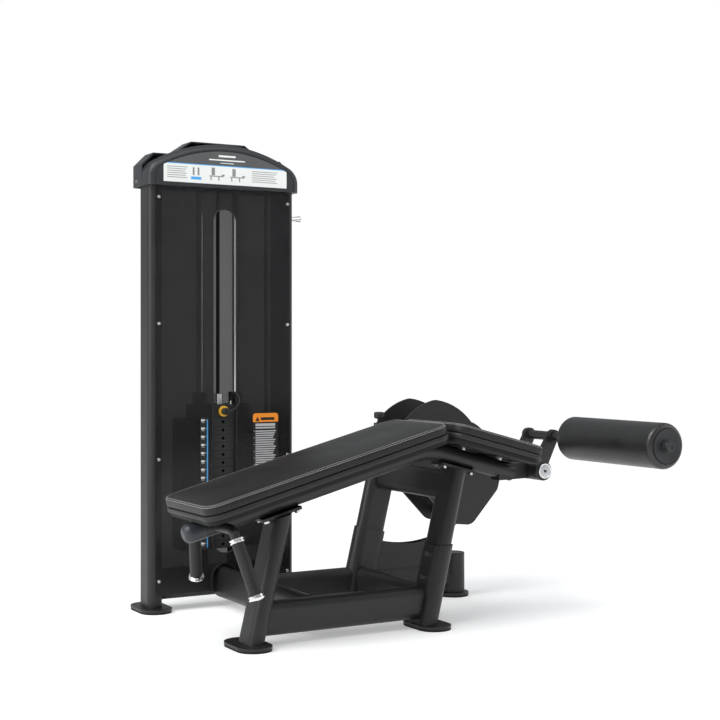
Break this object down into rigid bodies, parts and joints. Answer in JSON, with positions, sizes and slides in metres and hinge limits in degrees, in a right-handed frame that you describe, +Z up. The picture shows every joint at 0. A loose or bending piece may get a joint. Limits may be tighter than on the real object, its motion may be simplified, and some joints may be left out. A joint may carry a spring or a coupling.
{
  "type": "lying leg curl",
  "caption": "Gym machine for lying leg curls: inclined two-part bench, swinging roller lever and a selector weight stack in a panelled tower.",
  "frame": {"origin": "on the floor under the centre of the head-end foot", "axes": "+X along the bench towards the roller, +Y across towards the weight tower, +Z up"},
  "size_m": [1.6227, 1.0135, 1.523],
  "materials": {
    "frame_paint": "fine-textured satin black powder coat",
    "rubber": "matt moulded rubber",
    "vinyl": "grained upholstery vinyl, satin",
    "board": "matt black covered board",
    "grip_rubber": "smooth moulded grip",
    "chrome": "polished",
    "bolt_steel": "bright zinc plated",
    "bush_plastic": "plain bearing bush",
    "roller_skin": "pebbled integral-skin foam",
    "hard_plastic": "moulded",
    "plate_iron": "black coated",
    "belt_rubber": "flat ribbed belt",
    "cord_black": "matt coated cable",
    "pin_yellow": "moulded collar, black knob",
    "smoke_panel": "satin dark grey sheet",
    "rear_grey": "satin light grey sheet",
    "header_plastic": "satin moulded shell",
    "placard": null
  },
  "bodies": {
    "root": {"accessory_peg": "chrome", "base_cross_tubes": "frame_paint", "beam_end_cap": "rubber", "belt_fixed_runs": "belt_rubber", "belt_lift_run": "belt_rubber", "bench_beam": "frame_paint", "bench_brackets": "frame_paint", "bolts_and_screws": "bolt_steel", "cam_guard": "frame_paint", "far_leg": "frame_paint", "far_rail": "frame_paint", "foot_plates": "frame_paint", "foot_rubbers": "rubber", "front_panel": "smoke_panel", "guide_rods": "chrome", "handle_bars": "frame_paint", "handle_grips": "grip_rubber", "handle_trim": "chrome", "head_leg": "frame_paint", "header_front": "header_plastic", "header_rear": "header_plastic", "knee_housing": "frame_paint", "knee_leg": "frame_paint", "leg_sockets": "frame_paint", "main_pad": "vinyl", "near_rail": "frame_paint", "outrigger_post": "frame_paint", "pad_boards": "board", "pivot_bushes": "bush_plastic", "placards": "placard", "pulley_axles": "bolt_steel", "pulley_brackets": "frame_paint", "rear_panel": "rear_grey", "stack_cushions": "rubber", "start_pin_bracket": "frame_paint", "thigh_pad": "vinyl", "tower_base_tube": "frame_paint", "tower_posts": "frame_paint", "tower_top_beam": "frame_paint", "upper_cross_tube": "frame_paint", "weight_plates": "plate_iron"},
    "lever": {"knee_shaft": "bolt_steel", "lever_arm_near": "frame_paint", "lever_arm_far": "frame_paint", "belt_cam": "frame_paint", "roller_axle": "frame_paint", "roller_end_knob": "hard_plastic"},
    "roller": {"roller_core": "hard_plastic", "roller_foam": "roller_skin"},
    "carriage": {"head_plate": "plate_iron", "selector_rod": "bolt_steel", "belt_fitting": "chrome", "rod_bumpers": "rubber"},
    "selector_pin_body": {"selector_pin": "bolt_steel", "pin_knob": "pin_yellow", "pin_lanyard": "cord_black"},
    "start_pin_body": {"start_pin": "hard_plastic"},
    "pulley_centre_body": {"top_pulley_centre": "hard_plastic"},
    "pulley_side_body": {"top_pulley_side": "hard_plastic"},
    "rail_pulley_body": {"rail_pulley": "hard_plastic"}
  },
  "joints": [
    {"name": "lever_swing", "type": "hinge", "parent": "root", "child": "lever", "pos_m": [0.987, 0, 0.462], "axis": [0, -1, 0], "range_deg": [0, 110]},
    {"name": "roller_spin", "type": "hinge", "parent": "lever", "child": "roller", "pos_m": [1.348, 0, 0.536], "axis": [0, 1, 0], "continuous": true},
    {"name": "stack_lift", "type": "slide", "parent": "root", "child": "carriage", "axis": [0, 0, 1], "range_m": [0, 0.26967], "deforming": ["belt_lift_run"]},
    {"name": "selector_pin_pull", "type": "slide", "parent": "carriage", "child": "selector_pin_body", "axis": [0, -1, 0], "range_m": [0, 0.064]},
    {"name": "start_pin_pull", "type": "slide", "parent": "root", "child": "start_pin_body", "axis": [0, 0, 1], "range_m": [0, 0.01], "stiffness_N_per_m": 800, "springref_m": -0.004},
    {"name": "centre_pulley_spin", "type": "hinge", "parent": "root", "child": "pulley_centre_body", "pos_m": [0.238, 0.667, 1.444], "axis": [0, 1, 0], "range_deg": [-5, 483.97]},
    {"name": "side_pulley_spin", "type": "hinge", "parent": "root", "child": "pulley_side_body", "pos_m": [0.35175, 0.667, 1.444], "axis": [0, 1, 0], "range_deg": [-5, 483.97]},
    {"name": "rail_pulley_spin", "type": "hinge", "parent": "root", "child": "rail_pulley_body", "pos_m": [0.862, 0.415, 0.166], "axis": [0, -1, 0], "range_deg": [-5, 483.97]}
  ],
  "couplings": [
    {"joint": "stack_lift", "follows": "lever_swing", "m_per_rad": 0.1389},
    {"joint": "centre_pulley_spin", "follows": "lever_swing", "ratio": 4.3542},
    {"joint": "side_pulley_spin", "follows": "lever_swing", "ratio": 4.3542},
    {"joint": "rail_pulley_spin", "follows": "lever_swing", "ratio": 4.3542}
  ]
}
